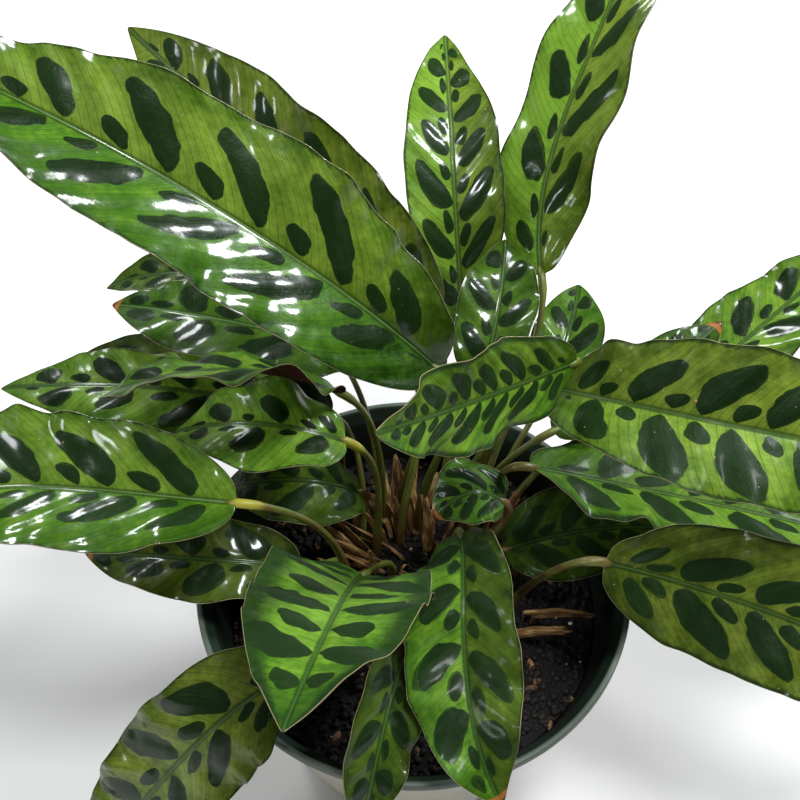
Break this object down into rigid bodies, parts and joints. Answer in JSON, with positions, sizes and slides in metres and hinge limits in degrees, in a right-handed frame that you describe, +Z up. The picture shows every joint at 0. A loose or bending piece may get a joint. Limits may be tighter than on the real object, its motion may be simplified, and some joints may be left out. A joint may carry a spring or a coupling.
{
  "type": "potted rattlesnake plant",
  "caption": "Prayer plant with long wavy spotted leaves on slender stems, growing from soil in a round tapered nursery pot.",
  "frame": {"origin": "centre of the pot's flat underside, on the surface that the pot stands on", "axes": "+Z up along the pot's axis, +Y towards the back of the plant, +X to its right seen from the front"},
  "size_m": [0.3679, 0.2896, 0.2978],
  "materials": {
    "pot": "satin cream outside, dark green rim and inside",
    "soil": "moist crumbly peat with perlite",
    "leaf": "glossy yellow-green with dark green ovals, maroon underneath",
    "stem": "satin green to reddish brown",
    "dried": "dry fibrous brown"
  },
  "bodies": {
    "root": {"pot": "pot", "soil": "soil", "blade_upper_left": "leaf", "stem_upper_left": "stem", "blade_upper_left_rear": "leaf", "stem_upper_left_rear": "stem", "blade_upright": "leaf", "stem_upright": "stem", "blade_upright_right": "leaf", "stem_upright_right": "stem", "blade_upright_short": "leaf", "stem_upright_short": "stem", "blade_rear_small": "leaf", "stem_rear_small": "stem", "blade_centre": "leaf", "stem_centre": "stem", "blade_right": "leaf", "stem_right": "stem", "blade_right_under": "leaf", "stem_right_under": "stem", "blade_right_hidden": "leaf", "stem_right_hidden": "stem", "blade_right_low": "leaf", "stem_right_low": "stem", "blade_right_front": "leaf", "stem_right_front": "stem", "blade_front": "leaf", "stem_front": "stem", "blade_front_curled": "leaf", "stem_front_curled": "stem", "blade_front_left": "leaf", "stem_front_left": "stem", "blade_front_left_low": "leaf", "stem_front_left_low": "stem", "blade_left": "leaf", "stem_left": "stem", "blade_left_low": "leaf", "stem_left_low": "stem", "blade_left_inner": "leaf", "stem_left_inner": "stem", "blade_left_inner_low": "leaf", "stem_left_inner_low": "stem", "blade_left_rear_curled": "leaf", "stem_left_rear_curled": "stem", "blade_left_rear": "leaf", "stem_left_rear": "stem", "blade_left_rear_low": "leaf", "stem_left_rear_low": "stem", "blade_left_back": "leaf", "stem_left_back": "stem", "blade_left_back_low": "leaf", "stem_left_back_low": "stem", "blade_right_rear": "leaf", "stem_right_rear": "stem", "blade_front_small": "leaf", "stem_front_small": "stem", "dry_sheath_1": "dried", "dry_sheath_2": "dried", "dry_sheath_3": "dried", "dry_stub": "dried"}
  },
  "joints": []
}
